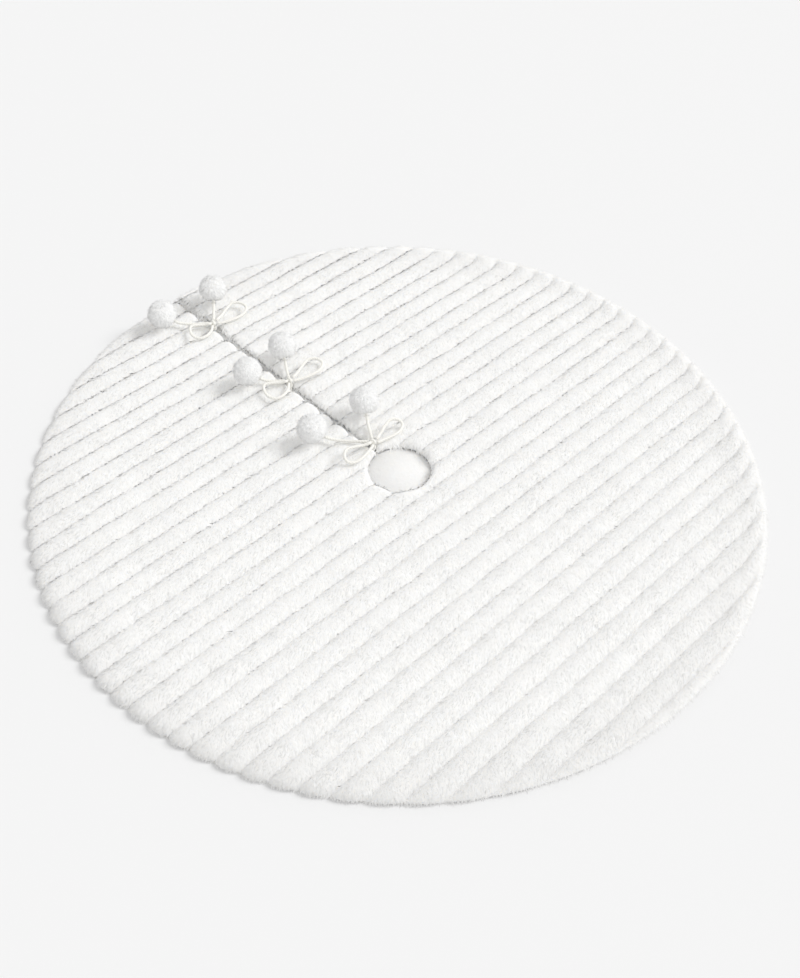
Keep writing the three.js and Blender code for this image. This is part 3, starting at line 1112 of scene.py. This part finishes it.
# %% [markdown]
# ## Pompoms
# A pompom is a round of the same fur gathered over stuffing, with its thread drawn tight round the
# cord. Its pile stands straight out all round, combed a little downwards by its own weight, so it
# is a soft ball with no hard outline. The ball below the pile is a sphere with a dimple at the
# neck, where the cloth is gathered in folds.


# %% Make the pompoms
# The ball under the pile, the wad inside it, and the ring of the gathering thread and its height.
BALL_R = 22.5 * MM
WAD_R = 15 * MM
GATHER_R = 4.8 * MM
GATHER_UP = 26.4 * MM

# Tufts that lie over each other, and finer ones that stand between them: how many, how far from
# the pompom's middle they are rooted, how wide they are, and how long beside the laid ones.
TUFTS = {"laid": (3000, 20.9 * MM, 3.0 * MM, 1), "standing": (2800, 18.3 * MM, 1.7 * MM, 1.12)}


def ball_places(count, seed):
    """Evenly spread directions over a ball, along a spiral, moved a little at random."""
    rng = np.random.default_rng(seed)
    step = np.arange(count) + 0.5
    height = 1 - 2 * step / count
    turn = step * pi * (1 + sqrt(5))
    ring = np.sqrt(1 - height**2)
    ways = np.stack([ring * np.cos(turn), ring * np.sin(turn), height], 1)
    return unit_rows(ways + rng.normal(0, 0.02, ways.shape))


def to_neck(neck):
    """The turn that brings straight up to the neck's direction."""
    return np.array(Vector((0, 0, 1)).rotation_difference(Vector(neck)).to_matrix())


def pompom_ball(name, centre, neck, radius, material):
    """A ball whose neck is drawn in, in folds."""
    work = bmesh.new()
    bmesh.ops.create_uvsphere(work, u_segments=48, v_segments=28, radius=1)
    turn = to_neck(neck)
    for vert in work.verts:
        way = np.array(vert.co)
        around = np.arctan2(way[1], way[0])
        near = float(ease(way[2], 0.72, 1.0))
        fold = 0.05 * near * cos(9 * around)
        lump = 0.03 * float(lumps(way[0] + way[2], way[1] - way[2], 0.5, 41))
        reach = radius * (1 - 0.42 * near**2 + fold + lump)
        vert.co = centre + turn @ (way * reach)
    bmesh.ops.recalc_face_normals(work, faces=work.faces)
    return new_object(name, mesh_from(name, work), material)


def pompom_tufts(name, centre, neck, seed):
    """Tufts lying over each other all round, and finer ones standing straight out."""
    rng = np.random.default_rng(seed)
    counts, *sizes = zip(*TUFTS.values())
    depth, width, longer = (np.repeat(pair, counts) for pair in sizes)
    ways = np.vstack([ball_places(counts[0], seed), ball_places(counts[1], seed + 3)])
    comb = rng.normal(0, 0.5, ways.shape) - (0, 0, 1)
    lean = unit_rows(comb - ways * (comb * ways).sum(1, keepdims=True))
    lean[counts[0] :] *= 0.2
    out = unit_rows(ways * 0.42 + lean)
    lengths = 9 * MM * rng.uniform(0.65, 1.1, len(ways)) * longer
    widths = width * rng.uniform(0.75, 1.25, len(ways))
    clumps = 1 * MM * lumps(ways[:, 0] * 2 + ways[:, 2], ways[:, 1] * 2 - ways[:, 2], 0.6, seed)
    depth = depth + clumps
    squeeze = 1 - 0.22 * ease(ways @ neck, 0.7, 0.97)
    roots = centre + ways * (depth * squeeze)[:, None]
    tops = ways + (0, 0, 0.2) + rng.normal(0, 0.32, ways.shape)
    keep = ways @ neck < 0.975
    return strew(
        name,
        tuft,
        roots[keep],
        (out * lengths[:, None])[keep],
        widths[keep],
        pompom_pile,
        tops[keep],
        seed=seed + 1,
        flat=0.3,
        roundness=1.6,
    )


for i, (tie, side_name) in enumerate(BOTH):
    node = f"{tie}_{side_name}_pompom"
    centre = pompom_place(tie, side_name)
    neck = neck_direction(tie, side_name)
    ball = pompom_ball(node + "_ball", centre, neck, BALL_R, pompom_ground)
    fluff = pompom_tufts(node + "_fluff", centre, neck, 500 + 10 * i)
    fluff.parent = ball
    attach(ball, node)
    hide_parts(node + "_cover")
    print(node, "at", np.round(centre / MM), "mm,", len(fluff.data.polygons), "faces of pile")

# %% [markdown]
# ## Inside the pompoms
# The stuffing is a wad of loose fibre, and the gathering thread goes twice round the neck. Neither
# shows much, but a part that opens up should be right inside as well.

# %% Stuffing and gathering thread
fibre_wad = ground_finish("fibre_wad", (0.93, 0.93, 0.93), (0.84, 0.84, 0.84))
for tie, side_name in BOTH:
    node = f"{tie}_{side_name}_pompom"
    centre = pompom_place(tie, side_name)
    neck = neck_direction(tie, side_name)
    wad = pompom_ball(node + "_wad", centre, neck, WAD_R, fibre_wad)
    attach(wad, node)
    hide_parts(node + "_stuffing")
    turn = np.linspace(0, 4 * pi, 80)
    climb = GATHER_UP + turn * 0.05 * MM
    coil = np.stack([GATHER_R * np.cos(turn), GATHER_R * np.sin(turn), climb], 1)
    thread = twisted_cord(
        node + "_gathering",
        coil @ to_neck(neck).T + centre,
        0.4 * MM,
        sewing_thread,
        lobes=2,
        turn_length=2 * MM,
    )
    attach(thread, node)
    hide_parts(node + "_gather_thread")
print("pompoms stuffed and gathered")

# %% [markdown]
# ## The cords' lengths
# The length of each loop's and tail's line is worked out. A loop leaves its knot and goes back
# into it. A tail leaves the knot and ends in its pompom.

for tie, side_name in BOTH:
    stem = f"{tie}_{side_name}"
    loop, loop_line = cords[stem + "_loop"]
    length_of(loop_line)
    tail, tail_line = cords[stem + "_tail"]
    length_of(tail_line)
print(2 * len(TIES) * len(SIDES), "cords declared")

# %% [markdown]
# ## The floor and the light
# The skirt lies on a plain pale floor. One large soft lamp stands to the right and a little
# behind, and an even white sky fills the shadows, so they stay faint and the white stays clean.

# %% Floor and light
FLOOR_WHITE = 0.845
LAMP_ENERGY = 1.55
LAMP_WIDTH = radians(26)
LAMP_WAY = Vector((-0.76, 0.46, -0.78))
SKY_STRENGTH = 0.755

floor_work = bmesh.new()
bmesh.ops.create_grid(floor_work, x_segments=4, y_segments=4, size=30)
floor_mesh = mesh_from("floor", floor_work, smooth=False)
floor_paint = Finish("floor_paint")
floor_finish = floor_paint.surface(base_color=(FLOOR_WHITE, FLOOR_WHITE, FLOOR_WHITE, 1), roughness=0.9)
floor = new_object("floor", floor_mesh, floor_finish)

key = bpy.data.objects.new("key_light", bpy.data.lights.new("key_light", "SUN"))
key.data.energy = LAMP_ENERGY
key.data.angle = LAMP_WIDTH
key.rotation_euler = LAMP_WAY.to_track_quat("-Z", "Y").to_euler()
bpy.context.collection.objects.link(key)

world = bpy.data.worlds.new("studio")
world.use_nodes = True
sky = world.node_tree.nodes["Background"].inputs
sky["Color"].default_value = (1, 1, 1, 1)
sky["Strength"].default_value = SKY_STRENGTH
bpy.context.scene.world = world
bpy.context.scene.view_settings.view_transform = "Standard"
print("one soft lamp and a white sky")
